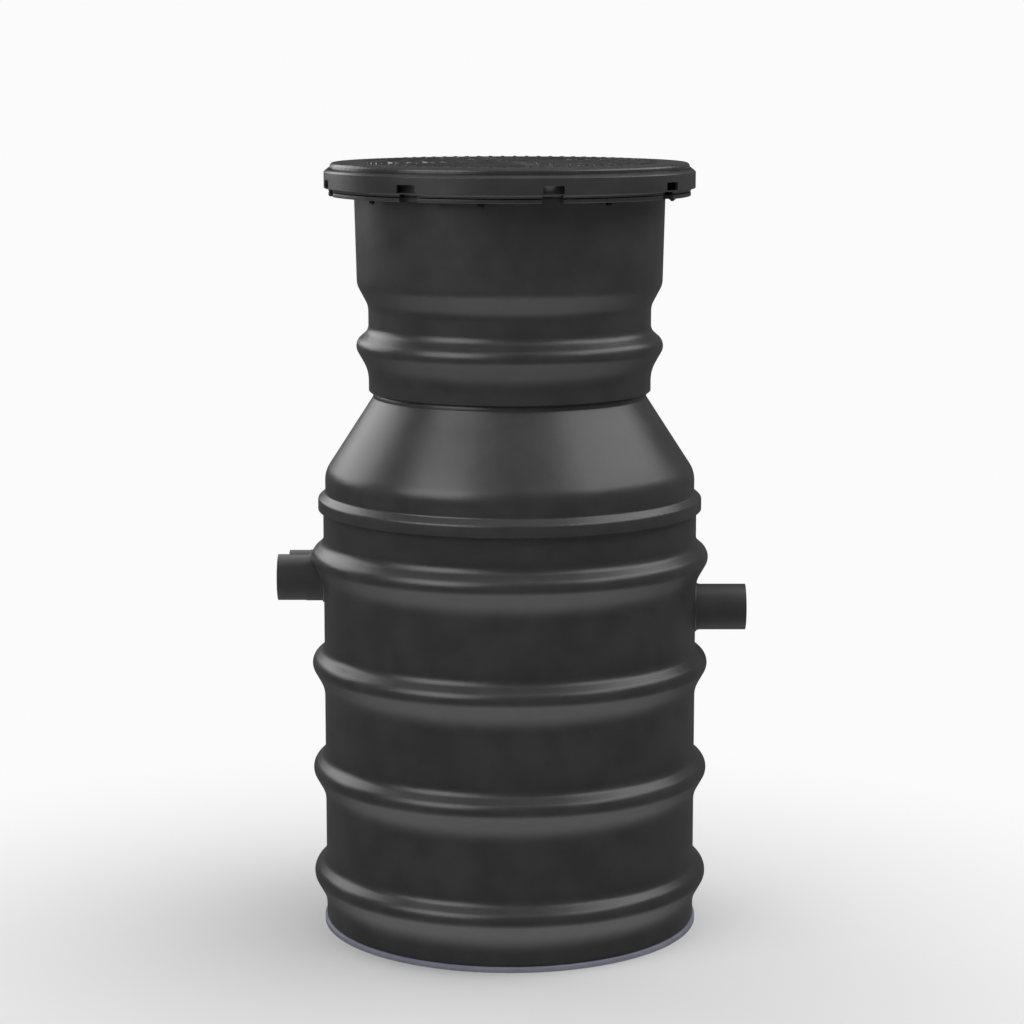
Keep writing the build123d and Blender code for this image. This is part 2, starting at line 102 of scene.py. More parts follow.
class Finish:
    """A material or world under construction: a node tree, and its one shader at the end."""

    def __init__(self, owner, coordinates="Object"):
        self.owner = owner
        owner.use_nodes = True
        self.tree = owner.node_tree
        self.tree.nodes.clear()
        self.place = self.add("ShaderNodeTexCoord", {}, {}, coordinates)

    def add(self, kind, settings, inputs, output=0):
        """Any node: its settings first, then its inputs as numbers, colours or links."""
        made = self.tree.nodes.new(kind)
        for key, value in settings.items():
            setattr(made, key, value)
        for key, value in inputs.items():
            if isinstance(value, Value):
                self.tree.links.new(value.socket, made.inputs[key])
            else:
                made.inputs[key].default_value = value
        return Value(self, made.outputs[output])

    def grain(self, size, detail=2.0, roughness=0.5, stretch=(1, 1, 1)):
        """Noise from 0 to 1 whose lumps are about size across, drawn out by stretch."""
        place = self.place
        if stretch != (1, 1, 1):
            place = self.add("ShaderNodeMapping", {}, {"Vector": place, "Scale": stretch})
        inputs = {"Vector": place, "Scale": 1 / size, "Detail": detail, "Roughness": roughness}
        return self.add("ShaderNodeTexNoise", {}, inputs)

    def blended(self, share, first, second):
        """A colour that goes from first to second as share goes from 0 to 1.

        A Mix node has sockets for numbers, vectors and colours, so the colour ones go by number.
        """
        return self.add("ShaderNodeMix", {"data_type": "RGBA"}, {0: share, 6: first, 7: second}, 2)

    def bump(self, height, distance, strength=1.0, below=None):
        """A normal that is tilted as if the surface rose by height times distance."""
        inputs = {"Height": height, "Distance": distance, "Strength": strength}
        if below is not None:
            inputs["Normal"] = below
        return self.add("ShaderNodeBump", {}, inputs)

    def shade(self, colour, rough, normal, metallic=0.0, specular=0.5):
        """Ends the tree with one Principled shader, and returns the material."""
        inputs = {
            "Base Color": colour,
            "Roughness": rough,
            "Metallic": metallic,
            "Specular IOR Level": specular,
            "Normal": normal,
        }
        shader = self.add("ShaderNodeBsdfPrincipled", {}, inputs, "BSDF")
        self.add_output(shader)
        print("finish", self.owner.name, len(self.tree.nodes), "nodes")
        return self.owner

    def add_output(self, shader, kind="ShaderNodeOutputMaterial"):
        """Links the shader to the output of the material or the world."""
        end = self.tree.nodes.new(kind)
        self.tree.links.new(shader.socket, end.inputs["Surface"])


# %% [markdown]
# The tank, cone, neck, frame and cover are rotation-moulded polyethylene. Powder melts against the
# mould's blasted inner face, so the skin is charcoal black, dull, finely pebbled, and a little
# cloudy in its gloss. Noise patterns of a few sizes do that: about a millimetre for the pebbling,
# some centimetres for the gloss and the pale scuffs, and a hand's width for the faint waviness of
# a thick wall that shrank as it cooled.

# %% Moulded black polyethylene
def moulded_black(name, tone, rough, pebble, wave=0.0048):
    """Charcoal polyethylene of grey tone: rough is its gloss, pebble and wave its heights in metres."""
    finish = Finish(bpy.data.materials.new(name))
    cloud = finish.grain(0.09, detail=3.0, roughness=0.6)
    speck = finish.grain(0.0032, detail=2.0, roughness=0.6)
    fine = finish.grain(0.0011, detail=2.0, roughness=0.5)
    swell = finish.grain(0.16, detail=1.0, roughness=0.4)
    scuff = finish.grain(0.02, detail=4.0, roughness=0.7, stretch=(1, 1, 0.25)).between(0.62, 0.78)
    dark = (tone * 0.86, tone * 0.86, tone * 0.87, 1)
    pale = (tone * 1.16, tone * 1.15, tone * 1.14, 1)
    colour = finish.blended(cloud.between(0.3, 0.7), dark, pale)
    chalk = (tone * 1.7, tone * 1.7, tone * 1.68, 1)
    colour = finish.blended(scuff * 0.22, colour, chalk)
    gloss = rough - 0.05 + cloud * 0.1 + scuff * 0.06
    waves = finish.bump(swell, wave, strength=0.35)
    normal = finish.bump(speck * 0.6 + fine * 0.4, pebble, strength=0.5, below=waves)
    return finish.shade(colour, gloss, normal, specular=0.7)


drum_black = moulded_black("drum_black", 0.036, 0.31, 0.0007)
shoulder_black = moulded_black("shoulder_black", 0.036, 0.31, 0.0007)
neck_black = moulded_black("neck_black", 0.036, 0.31, 0.0007)
frame_black = moulded_black("frame_black", 0.036, 0.30, 0.0004)
cover_black = moulded_black("cover_black", 0.036, 0.27, 0.0005)
clip_black = moulded_black("clip_black", 0.030, 0.45, 0.0004)


# %% [markdown]
# The stubs are extruded pipe. A die leaves them smoother than moulded skin, with very faint lines
# along the pipe, which runs along X here. Noise that is drawn out along X gives those lines.

# %% Extruded pipe
def extruded(name, dark, pale, rough, stretch):
    """Pipe between two greys, with die lines drawn out along one axis."""
    finish = Finish(bpy.data.materials.new(name))
    line = finish.grain(0.0025, detail=2.0, roughness=0.5, stretch=stretch)
    cloud = finish.grain(0.06, detail=3.0, roughness=0.6)
    mark = finish.grain(0.012, detail=4.0, roughness=0.7).between(0.64, 0.8)
    colour = finish.blended(cloud.between(0.3, 0.7), dark, pale)
    chalk = tuple(min(1.0, part * 1.6) for part in pale[:3]) + (1,)
    colour = finish.blended(mark * 0.2, colour, chalk)
    normal = finish.bump(line, 0.0003, 0.5)
    return finish.shade(colour, rough + cloud * 0.08 + mark * 0.06, normal)


pipe_black = extruded("pipe_black", (0.034, 0.034, 0.035, 1), (0.042, 0.042, 0.043, 1), 0.44, (0.05, 1, 1))
fitting_grey = extruded("fitting_grey", (0.15, 0.155, 0.165, 1), (0.18, 0.185, 0.195, 1), 0.34, (1, 1, 0.05))


# %% [markdown]
# The base plate is cut from grey sheet, which has a slight violet cast in the photograph. It is
# dull and finely scratched, and two noise patterns that are drawn out along X and along Y give it
# scratches that lie both ways.

# %% Grey sheet
def sheet_grey():
    """Grey plastic sheet with short scratches that lie both ways."""
    finish = Finish(bpy.data.materials.new("grey_plate"))
    cloud = finish.grain(0.08, detail=3.0, roughness=0.6)
    across = finish.grain(0.003, detail=2.0, roughness=0.6, stretch=(0.08, 1, 1))
    along = finish.grain(0.003, detail=2.0, roughness=0.6, stretch=(1, 0.08, 1))
    scratch = across.between(0.6, 0.75) + along.between(0.6, 0.75)
    colour = finish.blended(cloud.between(0.3, 0.7), (0.25, 0.25, 0.335, 1), (0.3, 0.3, 0.395, 1))
    colour = finish.blended(scratch * 0.12, colour, (0.4, 0.4, 0.48, 1))
    normal = finish.bump(across + along, 0.0003, 0.4)
    return finish.shade(colour, 0.5 + cloud * 0.08, normal)


grey_plate = sheet_grey()


# %% [markdown]
# Seals are soft black rubber, which is duller and browner than the polyethylene. The frame's bolts
# are zinc plated and then blackened, the cover's screws are stainless, and the inserts are turned
# brass. Metal needs full Metallic and a roughness that varies with the handling marks.

# %% Rubber and metals
def rubber():
    """Soft seal rubber with a fine dusty bloom."""
    finish = Finish(bpy.data.materials.new("seal_rubber"))
    cloud = finish.grain(0.02, detail=3.0, roughness=0.6)
    fine = finish.grain(0.0008, detail=2.0, roughness=0.5)
    colour = finish.blended(cloud.between(0.35, 0.7), (0.018, 0.018, 0.018, 1), (0.032, 0.031, 0.03, 1))
    return finish.shade(colour, 0.72 + cloud * 0.12, finish.bump(fine, 0.0003, 0.5), specular=0.35)


def metal(name, dark, pale, rough, lump):
    """Plated or turned metal between two tones, with marks of about lump across."""
    finish = Finish(bpy.data.materials.new(name))
    cloud = finish.grain(lump, detail=3.0, roughness=0.6)
    fine = finish.grain(lump / 12, detail=2.0, roughness=0.5)
    colour = finish.blended(cloud.between(0.3, 0.7), dark, pale)
    normal = finish.bump(fine, 0.0001, 0.4)
    return finish.shade(colour, rough + cloud * 0.14, normal, metallic=1.0)


seal_rubber = rubber()
zinc_steel = metal("zinc_steel", (0.035, 0.035, 0.037, 1), (0.06, 0.06, 0.062, 1), 0.34, 0.006)
stainless_screw = metal("stainless_screw", (0.55, 0.55, 0.55, 1), (0.66, 0.66, 0.65, 1), 0.22, 0.005)
insert_brass = metal("insert_brass", (0.62, 0.45, 0.18, 1), (0.74, 0.57, 0.27, 1), 0.25, 0.005)


# %% [markdown]
# The solids arrive as loose triangles, one flat facet each. A round tank that is shaded facet by
# facet shows stripes in every highlight, so each smooth piece is a copy whose doubled corners are
# merged and whose faces are smooth wherever they meet at a small angle. The original is hidden,
# and the copy stands for it. Every piece that keeps its solid's form is made by this one function.

# %% Smooth copies of the solids
slot_of = {part["node"]: part["material_slot"] for part in frame["record"]["subparts"]}
finish_of = {
    "drum_black": drum_black,
    "shoulder_black": shoulder_black,
    "neck_black": neck_black,
    "frame_black": frame_black,
    "cover_black": cover_black,
    "pipe_black": pipe_black,
    "clip_black": clip_black,
    "fitting_grey": fitting_grey,
    "grey_plate": grey_plate,
    "seal_rubber": seal_rubber,
    "zinc_steel": zinc_steel,
    "stainless_screw": stainless_screw,
    "insert_brass": insert_brass,
}
SAME_PLACE = 1e-6
body_of = {name: body for body, names in frame["record"]["behaviour"]["bodies"].items() for name in names}


def stand_for(piece, name):
    """Gives a piece the place in the assembly and the finish of the node that it stands for."""
    slot = slot_of[name]
    piece.data.materials.clear()
    piece.data.materials.append(finish_of[slot])
    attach(piece, body_of[name])
    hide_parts(name)
    print("made", piece.name, len(piece.data.polygons), "faces")
    return piece


def added(name, data):
    """A new object at the origin, which shows a mesh or is a light or camera."""
    piece = bpy.data.objects.new(name, data)
    bpy.context.scene.collection.objects.link(piece)
    return piece


def smooth_shading(mesh, angle=30.0):
    """Smooth faces, with sharp edges only where faces meet at more than angle degrees."""
    mesh.shade_smooth()
    mesh.set_sharp_from_angle(angle=math.radians(angle))


def merge_corners(mesh, face_outward=False):
    """Merges the corners that lie in one place, and turns all faces outward if asked to."""
    bm = bmesh.new()
    bm.from_mesh(mesh)
    bmesh.ops.remove_doubles(bm, verts=bm.verts, dist=SAME_PLACE)
    if face_outward:
        bmesh.ops.recalc_face_normals(bm, faces=bm.faces)
    bm.to_mesh(mesh)
    bm.free()


def smooth_copy(name):
    """A copy of a node whose doubled corners are merged and whose round faces are smooth."""
    mesh = node[name].data.copy()
    mesh.name = name + "_surface"
    merge_corners(mesh)
    smooth_shading(mesh)
    return stand_for(added(mesh.name, mesh), name)


# %% [markdown]
# The drum and the neck are turned shapes: one outline, carried round the tank's axis. Their ribs
# catch long thin highlights, and a highlight runs evenly only where a surface curves evenly, which
# a solid's facets don't. So both are drawn again as fine surfaces. An outline is a short list of
# corners, each with a radius and a height in millimetres and the size of the arc that blends it.

# %% Outlines with blended corners
LEAST_BLEND = 0.5


def runs(points):
    """Unit directions from each point to the next."""
    steps = np.diff(points, axis=0)
    return steps / np.linalg.norm(steps, axis=1, keepdims=True)


def leftward(directions):
    """The directions turned left by a quarter turn: into the material of a wall drawn upwards."""
    return np.stack([-directions[:, 1], directions[:, 0]], 1)


def inset(corners, thick):
    """The inner face of a wall. A corner slides along its mitre, thick (n1 + n2) / (1 + n1 n2).

    The arc round a bulge shrinks by the wall's thickness, and the arc in a hollow grows by it.
    """
    corners = np.array(corners, float)
    along = runs(corners[:, :2])
    side = leftward(along)
    before = np.vstack([side[:1], side])
    after = np.vstack([side, side[-1:]])
    mitre = (before + after) / (1 + np.sum(before * after, 1, keepdims=True))
    turn = np.zeros(len(corners))
    turn[1:-1] = along[:-1, 0] * along[1:, 1] - along[:-1, 1] * along[1:, 0]
    blend = np.maximum(corners[:, 2] - np.sign(turn) * thick, LEAST_BLEND)
    return np.column_stack([corners[:, :2] + thick * mitre, blend])


def blended_outline(corners, arc_step=4.0, longest=24.0):
    """Points along the runs and arcs of an outline.

    With u the run into a corner, n the side it turns to, t the turn and b the blend, the arc
    starts at the corner minus b tan(t / 2) u and goes on as b (sin(s) u + (1 - cos(s)) n), s to t.
    """
    corners = np.array(corners, float)
    along = runs(corners[:, :2])
    side = leftward(along)
    pieces = [corners[:1, :2]]
    for index in range(1, len(corners) - 1):
        into, out_of = along[index - 1], along[index]
        sine = into[0] * out_of[1] - into[1] * out_of[0]
        turn = math.atan2(abs(sine), into @ out_of)
        blend = corners[index, 2]
        start = corners[index, :2] - blend * math.tan(turn / 2) * into
        count = max(1, math.ceil(math.degrees(turn) / arc_step)) if blend > 0 else 0
        swept = np.linspace(0, turn, count + 1)[:, None]
        towards = side[index - 1] * np.sign(sine)
        pieces.append(start + blend * (np.sin(swept) * into + (1 - np.cos(swept)) * towards))
    pieces.append(corners[-1:, :2])
    points = [pieces[0]]
    for piece in pieces[1:]:
        gap = piece[0] - points[-1][-1]
        count = max(1, math.ceil(np.linalg.norm(gap) / longest))
        points.append(points[-1][-1] + gap * (np.arange(1, count) / count)[:, None])
        points = [part for part in points if len(part)]
        points.append(piece)
    return np.vstack(points)


# %% [markdown]
# A turned surface is a grid: one row of points for each angle, one column for each point of the
# outline. Where the last row joins the first and the outline closes on itself, the grid has no
# border, so the wall is a closed shell. Points on the axis fall together and are merged. Holes are
# cut afterwards with a Boolean modifier, whose result is then kept as the piece's own mesh.

# %% Turned surfaces
def grid_mesh(name, places):
    """A closed mesh from a grid of places that wraps round both ways, doubles merged."""
    rows, columns = places.shape[:2]
    number = np.arange(rows * columns).reshape(rows, columns)
    right = np.roll(number, -1, 0)
    quads = np.stack([number, right, np.roll(right, -1, 1), np.roll(number, -1, 1)], -1)
    mesh = bpy.data.meshes.new(name)
    mesh.from_pydata(places.reshape(-1, 3).tolist(), [], quads.reshape(-1, 4).tolist())
    merge_corners(mesh, face_outward=True)
    return mesh


def turned(name, outline, steps=256):
    """An outline of radius r and height h turned about Z: (r cos a, r sin a, h) for each angle a."""
    angle = np.arange(steps) / steps * 2 * np.pi
    across = np.cos(angle)[:, None] * outline[:, 0]
    deep = np.sin(angle)[:, None] * outline[:, 0]
    places = np.stack([across, deep, np.broadcast_to(outline[:, 1], across.shape)], -1) * MM
    return grid_mesh(name, places)


def add_block(bm, matrix, sides, radius, long):
    """Adds a closed prism or cylinder along its matrix's Z to a cutter, all in millimetres."""
    made = bmesh.ops.create_cone(
        bm, cap_ends=True, segments=sides, radius1=radius, radius2=radius, depth=long
    )
    bmesh.ops.transform(bm, matrix=Matrix.Scale(MM, 4) @ matrix, verts=made["verts"])


def cut(piece, bm):
    """Takes the cutter's closed shapes out of a piece, and keeps the result as its mesh."""
    cutter_mesh = bpy.data.meshes.new("cutter")
    bm.to_mesh(cutter_mesh)
    bm.free()
    cutter = added("cutter", cutter_mesh)
    modifier = piece.modifiers.new("cut", "BOOLEAN")
    modifier.operation = "DIFFERENCE"
    modifier.solver = "EXACT"
    modifier.object = cutter
    bpy.context.view_layer.update()
    graph = bpy.context.evaluated_depsgraph_get()
    mesh = bpy.data.meshes.new_from_object(piece.evaluated_get(graph))
    piece.modifiers.clear()
    piece.data = mesh
    bpy.data.objects.remove(cutter)
    bpy.data.meshes.remove(cutter_mesh)
    smooth_shading(mesh)


# %% [markdown]
# The drum carries four ribs, which keep its thin wall round when the ground presses on it. Each rib
# has a short steep upper side and a long flat lower side. One function gives a rib's three corners,
# and a loop stacks them, so a change to one size changes every rib alike. The wall's inner face is
# hidden while the cover is on, so it's drawn with coarser steps.

# %% The ribbed drum
WALL = 8.0
COARSE = {"arc_step": 8.0, "longest": 60.0}
DRUM_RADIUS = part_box("tank_joint_seal")[1][0] / MM
DRUM_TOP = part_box("tank_shell")[1][2] / MM
PLATE_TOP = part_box("base_plate")[1][2] / MM
RIB_REACH = 36.3
RIB_UPPER_RUN = 30.9
RIB_LOWER_RUN = 64.5
RIB_UPPER_BLEND = 28.0
RIB_NOSE_BLEND = 27.9
RIB_LOWER_BLEND = 91.0
RIB_COUNT = 4
RIB_PITCH = 257.1
TOP_CREASE_BELOW_EDGE = 85.1
FOOT_BLEND = 4.0


def rib_corners(radius, crease):
    """The corners of one rib under its upper crease: foot, nose and upper root."""
    upper_turn = math.atan(RIB_REACH / RIB_UPPER_RUN)
    root = crease - RIB_UPPER_BLEND * math.tan(upper_turn / 2)
    nose = root - RIB_UPPER_RUN
    return [
        (radius, nose - RIB_LOWER_RUN, RIB_LOWER_BLEND),
        (radius + RIB_REACH, nose, RIB_NOSE_BLEND),
        (radius, root, RIB_UPPER_BLEND),
    ]


def drum_corners():
    """The drum's outer face, from the middle of its floor to its top edge."""
    corners = [(0, PLATE_TOP, 0), (DRUM_RADIUS, PLATE_TOP, FOOT_BLEND)]
    first_crease = DRUM_TOP - TOP_CREASE_BELOW_EDGE - (RIB_COUNT - 1) * RIB_PITCH
    for index in range(RIB_COUNT):
        corners += rib_corners(DRUM_RADIUS, first_crease + index * RIB_PITCH)
    return corners + [(DRUM_RADIUS, DRUM_TOP, 0)]


drum_outside = blended_outline(drum_corners())
drum_inside = blended_outline(inset(drum_corners(), WALL), **COARSE)[::-1]
print("drum outline", len(drum_outside), "points outside,", len(drum_inside), "inside")

# %% [markdown]
# Three stubs go through the drum's wall. The record's mounts say where they are and how thick, so
# the holes are placed from them. A pipe is one millimetre thicker at its root.

# %% Holes for the pipes, and the finished drum
ROOT_EXTRA = 1.0
HOLE_SIDES = 96
HOLE_LONG = 160.0
stubs = {}
for mount in frame["record"]["mounts"]:
    if mount["kind"] == "pin":
        _, y, z = (part / MM for part in mount["pos_m"])
        stubs[mount["name"]] = (mount["dims"]["r_mm"] + ROOT_EXTRA, mount["axis"][0], y, z)
print("stubs: root radius, side, y, z", stubs)

cutter = bmesh.new()
for radius, side, y, z in stubs.values():
    hole_place = Matrix.Translation((side * DRUM_RADIUS, y, z)) @ Matrix.Rotation(math.pi / 2, 4, "Y")
    add_block(cutter, hole_place, HOLE_SIDES, radius, HOLE_LONG)
drum = added("drum_wall", turned("drum_wall", np.vstack([drum_outside, drum_inside])))
cut(drum, cutter)
stand_for(drum, "tank_shell")

# %% [markdown]
# Each stub is welded into its hole, and the melted plastic leaves a low rippled bead around it. The
# bead is a tube along the line where the pipe meets the drum, so it rises and falls with the ribs.

# %% Weld beads around the stubs
BEAD_RADIUS = 4.0
BEAD_RIPPLES = 90
BEAD_RIPPLE_HIGH = 0.05
BEAD_STEPS = 360
BEAD_SIDES = 12


def weld_bead(name, root, side, y, z):
    """A tube round a pipe of radius root: with t round the pipe and s round the tube, its middle is
    (side sqrt(R(z)^2 - y^2), y + root cos t, z + root sin t), where R is the drum's outer radius.
    """
    around = np.arange(BEAD_STEPS) / BEAD_STEPS * 2 * np.pi
    tube = np.arange(BEAD_SIDES)[:, None] / BEAD_SIDES * 2 * np.pi
    deep = y + root * np.cos(around)
    high = z + root * np.sin(around)
    reach = np.interp(high, drum_outside[:, 1], drum_outside[:, 0])
    middle = np.stack([side * np.sqrt(reach ** 2 - deep ** 2), deep, high], 1)
    outward = np.stack([0 * around, np.cos(around), np.sin(around)], 1)
    size = BEAD_RADIUS * (1 + BEAD_RIPPLE_HIGH * np.sin(BEAD_RIPPLES * around))
    across = np.cos(tube) * outward[:, None] + np.sin(tube) * np.array([side, 0, 0])
    places = (middle[:, None] + size[:, None, None] * across) * MM
    bead = added(name, grid_mesh(name, places))
    smooth_shading(bead.data, 60.0)
    bead.data.materials.append(drum_black)
    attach(bead, body_of["tank_shell"])
    print("made", name, len(bead.data.polygons), "faces")


for stub_name, stub in stubs.items():
    weld_bead(stub_name.replace("spigot", "weld_bead"), *stub)

# %% [markdown]
# The neck slips over the cone's spigot and brings the opening up to floor level. It has one rib like
# the drum's, a flare, and a flange that the frame is bolted to. Inside, a small ring stops it on the
# spigot. Its wall is the same inset as the drum's, and the ring is let into the inner outline.

# %% The neck
NECK_RADIUS = 334.0
NECK_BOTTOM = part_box("riser_neck")[0][2] / MM
FLANGE_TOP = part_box("riser_neck")[1][2] / MM
FLANGE_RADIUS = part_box("riser_neck")[1][0] / MM
FLANGE_THICK = 9.5
FLANGE_BLEND = 2.0
LIP_BEVEL = 2.0
CREASE_ABOVE_LIP = 157.5
FLARE_ABOVE_CREASE = 44.7
FLARE_RISE = 49.6
FLARE_REACH = 26.3
FLARE_FOOT_BLEND = 52.0
FLARE_TOP_BLEND = 45.0
MOUTH_DRAFT = 5.0
STOP_RING = (316.0, 40.0, 48.0)

crease = NECK_BOTTOM + CREASE_ABOVE_LIP
flare_foot = crease + FLARE_ABOVE_CREASE
mouth_base = NECK_RADIUS + FLARE_REACH
mouth_radius = mouth_base + MOUTH_DRAFT
flange_bottom = FLANGE_TOP - FLANGE_THICK
neck_wall = [(NECK_RADIUS, NECK_BOTTOM, 0)] + rib_corners(NECK_RADIUS, crease) + [
    (NECK_RADIUS, flare_foot, FLARE_FOOT_BLEND),
    (mouth_base, flare_foot + FLARE_RISE, FLARE_TOP_BLEND),
    (mouth_radius, flange_bottom, 0),
]
lip = [(NECK_RADIUS - LIP_BEVEL, NECK_BOTTOM, 0), (NECK_RADIUS, NECK_BOTTOM + LIP_BEVEL, 0)]
flange = [
    (FLANGE_RADIUS, flange_bottom, FLANGE_BLEND),
    (FLANGE_RADIUS, FLANGE_TOP, FLANGE_BLEND),
    (mouth_radius - WALL, FLANGE_TOP, 0),
]
neck_outside = blended_outline(lip + neck_wall[1:] + flange)
neck_inside = blended_outline(inset(neck_wall, WALL), **COARSE)[::-1]
stop_radius, stop_low, stop_high = STOP_RING
stop_heights = np.array([stop_high, stop_low]) + NECK_BOTTOM
wall_radii = np.interp(stop_heights, neck_inside[::-1, 1], neck_inside[::-1, 0])
stop = [
    (wall_radii[0], stop_heights[0]), (stop_radius, stop_heights[0]),
    (stop_radius, stop_heights[1]), (wall_radii[1], stop_heights[1]),
]
above_stop = neck_inside[neck_inside[:, 1] > stop_heights[0]]
below_stop = neck_inside[neck_inside[:, 1] < stop_heights[1]]
neck = added("neck_wall", turned("neck_wall", np.vstack([neck_outside, above_stop, stop, below_stop])))
print("neck outline", len(neck_outside), "points outside")

# %% [markdown]
# Eight slots in the flange's edge sit under the windows of the frame, and eight bolt holes lie
# between them. The cutters are placed by turning one slot and one hole about the axis.

# %% Slots and bolt holes in the neck's flange
SLOT_COUNT = 8
SLOT_FIRST = math.radians(-77.0)
SLOT_WIDE = 49.0
SLOT_DEEP = 25.0
BOLT_HOLE = 4.5
BOLT_TURN = math.radians(22.5)
BOLT_CIRCLE = 383.5
BOLT_HOLE_SIDES = 24
CUT_LONG = 60.0
UNIT_SQUARE = math.sqrt(0.5)
cutter = bmesh.new()
for index in range(SLOT_COUNT):
    turn = Matrix.Rotation(SLOT_FIRST + index * 2 * math.pi / SLOT_COUNT, 4, "Z")
    slot_middle = Matrix.Translation((FLANGE_RADIUS, 0, FLANGE_TOP))
    slot_size = Matrix.Diagonal((2 * SLOT_DEEP, SLOT_WIDE, 1, 1))
    slot_place = turn @ slot_middle @ slot_size @ Matrix.Rotation(math.pi / 4, 4, "Z")
    add_block(cutter, slot_place, 4, UNIT_SQUARE, CUT_LONG)
    bolt_middle = Matrix.Translation((BOLT_CIRCLE, 0, FLANGE_TOP))
    bolt_place = turn @ Matrix.Rotation(BOLT_TURN, 4, "Z") @ bolt_middle
    add_block(cutter, bolt_place, BOLT_HOLE_SIDES, BOLT_HOLE, CUT_LONG)
cut(neck, cutter)
stand_for(neck, "riser_neck")

# %% [markdown]
# Everything else already has the right form in its solid: cone, frame, cover, pipes, tees, clips,
# seals and fasteners. Each gets a smooth copy, in its own finish, also where it can't be seen while
# the cover is on.

# %% The pieces that keep their solid's form
plain_nodes = [
    "base_plate", "tank_joint_seal", "shoulder_cone", "riser_seal",
    "frame_gasket", "cover_frame", "frame_bolts", "frame_washers", "frame_nuts", "screw_inserts",
    "cover_seal", "cover", "cover_screws", "inlet_pipe", "outlet_pipe", "vent_pipe",
    "inlet_tee", "inlet_tee_seals", "inlet_drop_pipe", "inlet_clip",
    "outlet_tee", "outlet_tee_seals", "outlet_drop_pipe", "outlet_clip_upper", "outlet_clip_lower",
]
plain_pieces = {name: smooth_copy(name) for name in plain_nodes}

# %% [markdown]
# The cover's top edge is moulded with a wide round, which catches the light as a broad band. The
# solid has a smaller round, so the rest of the edge is cut from its copy with a turned ring whose
# inner face is the wide round.

# %% The cover's round edge
TREAD_HIGH = 3.5
COVER_DRAFT = 2.0
COVER_ROUND = 9.0
cover_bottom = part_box("cover_seal")[1][2] / MM
cover_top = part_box("cover")[1][2] / MM - TREAD_HIGH
cover_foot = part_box("cover")[1][0] / MM
corners = [
    (cover_foot, cover_bottom, 0),
    (cover_foot - COVER_DRAFT, cover_top, COVER_ROUND),
    (cover_foot - 4 * COVER_ROUND, cover_top, 0),
]
cover_edge = blended_outline(corners, arc_step=5.0, longest=1000.0)[1:-1]
ring_outline = np.vstack([
    cover_edge,
    (cover_edge[-1, 0], cover_top + COVER_ROUND),
    (cover_foot + COVER_ROUND, cover_top + COVER_ROUND),
    (cover_foot + COVER_ROUND, cover_edge[0, 1]),
])
ring = turned("edge_cutter", ring_outline)
cutter = bmesh.new()
cutter.from_mesh(ring)
bpy.data.meshes.remove(ring)
cover = plain_pieces["cover"]
cut(cover, cutter)
print("cover edge", len(cover_edge), "points", len(cover.data.polygons), "faces")


# %% [markdown]
# A smooth corner takes its direction from the faces that meet there. Where a large flat face meets
# a narrow bevel, that makes the flat face look like a pillow. Cover and frame have many such places,
# so their normals are weighted by the size of the faces.

# %% Flat faces that stay flat
def flat_faces_lead(piece):
    """Lets the large faces at a corner set its normal, so no face shades like a pillow."""
    normals = piece.modifiers.new("flat_faces_lead", "WEIGHTED_NORMAL")
    normals.keep_sharp = True
    normals.weight = 100


for name in ("cover", "cover_frame"):
    flat_faces_lead(plain_pieces[name])
    print("even normals on", name)


# %% [markdown]
# The studio has one pale floor, which fades into a white surround so that no horizon shows. Black
# plastic is seen by what it mirrors. In the photograph its upright walls mirror a dark horizon,
# and only faces that look down mirror a pale ground. A real floor near the tank would brighten the
# walls too, so the tank doesn't mirror this one. It mirrors the surround instead, which is pale
# straight below, dark at the horizon and a little brighter overhead.

# %% Floor
WHITE_LEVEL = 0.965
FADE_REACH = 2.4
FLOOR_SIDES = 96


def pale_floor(radius=30.0, colour=0.76, middle=(-0.1, -0.6, 0.0)):
    """A round floor, matt near its middle, that fades to plain white for the camera."""
    finish = Finish(bpy.data.materials.new("studio_floor"))
    steps = np.linspace(0, 2 * np.pi, FLOOR_SIDES, endpoint=False)
    corners = np.stack([radius * np.cos(steps), radius * np.sin(steps), 0 * steps], 1)
    mesh = bpy.data.meshes.new("studio_floor")
    mesh.from_pydata(corners.tolist(), [], [list(range(len(corners)))])
    floor = added("studio_floor", mesh)
    floor.visible_glossy = False
    floor.visible_shadow = False
    distance = finish.add("ShaderNodeVectorMath", {"operation": "DISTANCE"}, {0: finish.place, 1: middle}, 1)
    seen = finish.add("ShaderNodeLightPath", {}, {}, "Is Camera Ray")
    matt = finish.add("ShaderNodeBsdfDiffuse", {}, {"Color": (colour, colour, colour, 1)})
    pale = (WHITE_LEVEL, WHITE_LEVEL, WHITE_LEVEL, 1)
    white = finish.add("ShaderNodeEmission", {}, {"Color": pale, "Strength": 1.0})
    share = distance.between(0.0, FADE_REACH) * seen
    finish.add_output(finish.add("ShaderNodeMixShader", {}, {0: share, 1: matt, 2: white}))
    mesh.materials.append(finish.owner)
    print("floor, radius", radius, "m")


pale_floor()


# %% [markdown]
# The surround is a world whose brightness goes by height alone. The camera sees it as plain white,
# and every other ray, such as one that a rib mirrors, sees the dim room with its pale ground.

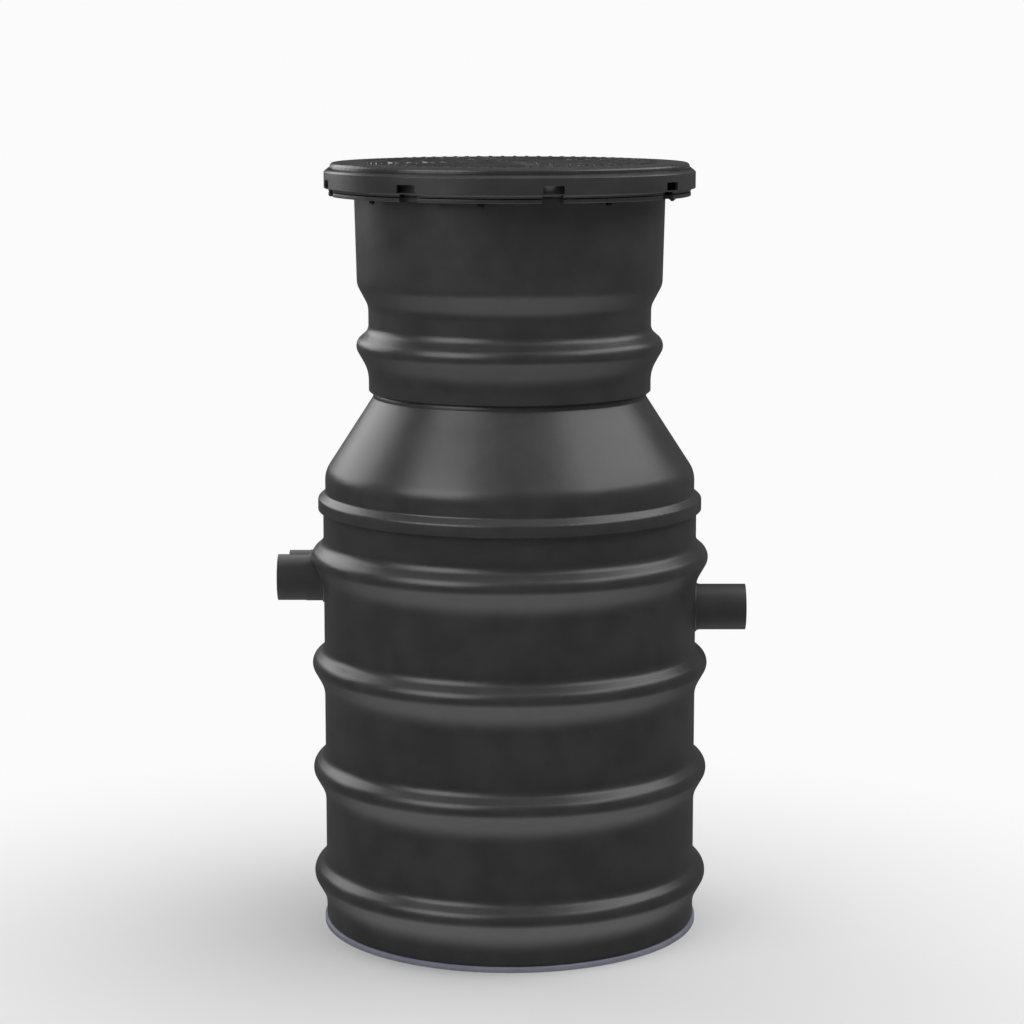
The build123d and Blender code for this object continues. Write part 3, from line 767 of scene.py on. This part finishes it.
# %% Surround
def surround(horizon, below, above):
    """A world that is white to the camera, and to other rays dim with two paler ends.

    Its strength is horizon, plus smooth steps of the ray's height towards below and above.
    """
    world = bpy.data.worlds.new("surround")
    sky = Finish(world, "Generated")
    up = sky.add("ShaderNodeSeparateXYZ", {}, {0: sky.place}, "Z")
    ground = (0 - up).between(0.45, 1.0) * (below - horizon)
    ceiling = up.between(0.6, 0.95) * (above - horizon)
    camera_ray = sky.add("ShaderNodeLightPath", {}, {}, "Is Camera Ray")
    through = sky.add("ShaderNodeLightPath", {}, {}, "Is Transmission Ray")
    direct = sky.add("ShaderNodeMath", {"operation": "MAXIMUM"}, {0: camera_ray, 1: through})
    level = direct * WHITE_LEVEL + (1 - direct) * (horizon + ground + ceiling)
    back = sky.add("ShaderNodeBackground", {}, {"Color": (1, 1, 1, 1), "Strength": level})
    sky.add_output(back, "ShaderNodeOutputWorld")
    bpy.context.scene.world = world
    print("surround: horizon", horizon, "ground", below, "overhead", above)


surround(horizon=0.1, below=1.15, above=0.4)


# %% [markdown]
# Three large soft boxes draw the long highlights: one at the front left, one behind on the left and
# one high on the right. Their places and sizes were worked out from where the photograph's
# highlights lie on the cone and the ribs. A fourth light falls from above, gives the soft shadow on
# the floor, and is left out of reflections.

# %% Soft lights
LIGHT_DISTANCE = 4.5
LIGHT_TARGET = Vector((0, 0, 0.95))


def soft_light(name, azimuth, elevation, wide, high, brightness, tilt=0.0, mirrored=True):
    """A soft light of angular size wide by high degrees, aimed at the tank's middle."""
    turn, rise = math.radians(azimuth), math.radians(elevation)
    away = np.array([math.sin(turn) * math.cos(rise), -math.cos(turn) * math.cos(rise), math.sin(rise)])
    light = bpy.data.lights.new(name, "AREA")
    light.shape = "RECTANGLE"
    light.size = 2 * LIGHT_DISTANCE * math.tan(math.radians(wide / 2))
    light.size_y = 2 * LIGHT_DISTANCE * math.tan(math.radians(high / 2))
    light.energy = brightness * math.pi * light.size * light.size_y
    lamp = added(name, light)
    lamp.location = LIGHT_TARGET + Vector(away) * LIGHT_DISTANCE
    aim = (LIGHT_TARGET - lamp.location).to_track_quat("-Z", "Y")
    lamp.rotation_euler = (aim @ Quaternion((0, 0, 1), math.radians(tilt))).to_euler()
    lamp.visible_camera = False
    lamp.visible_glossy = mirrored
    print("light", name, round(light.energy), "W at", [round(part, 2) for part in lamp.location])


soft_light("light_front_left", azimuth=-47, elevation=34, wide=38, high=34, brightness=2.65)
soft_light("light_back_left", azimuth=-130, elevation=25, wide=42, high=30, brightness=2.1)
soft_light("light_right", azimuth=90, elevation=43, wide=62, high=24, brightness=1.95, tilt=-14)
soft_light("light_down", azimuth=60, elevation=66, wide=50, high=50, brightness=2.0, mirrored=False)


# %% [markdown]
# The camera stands where the photographer stood: about 6.5 m in front of the tank and a little
# above its cover, looking down by nine degrees through a long lens, so that uprights stay nearly
# parallel. These values were found by fitting the circles of the cover, the ribs and the plate.

# %% Camera
camera_data = bpy.data.cameras.new("camera")
camera_data.lens = 97.52
camera_data.sensor_width = 36.0
camera = added("camera", camera_data)
camera.location = (0.0054, -6.548, 2.052)
camera.rotation_euler = (math.radians(80.84), 0, 0)
bpy.context.scene.camera = camera
bpy.context.scene.view_settings.view_transform = "Standard"
print("camera at", [round(part, 3) for part in camera.location])
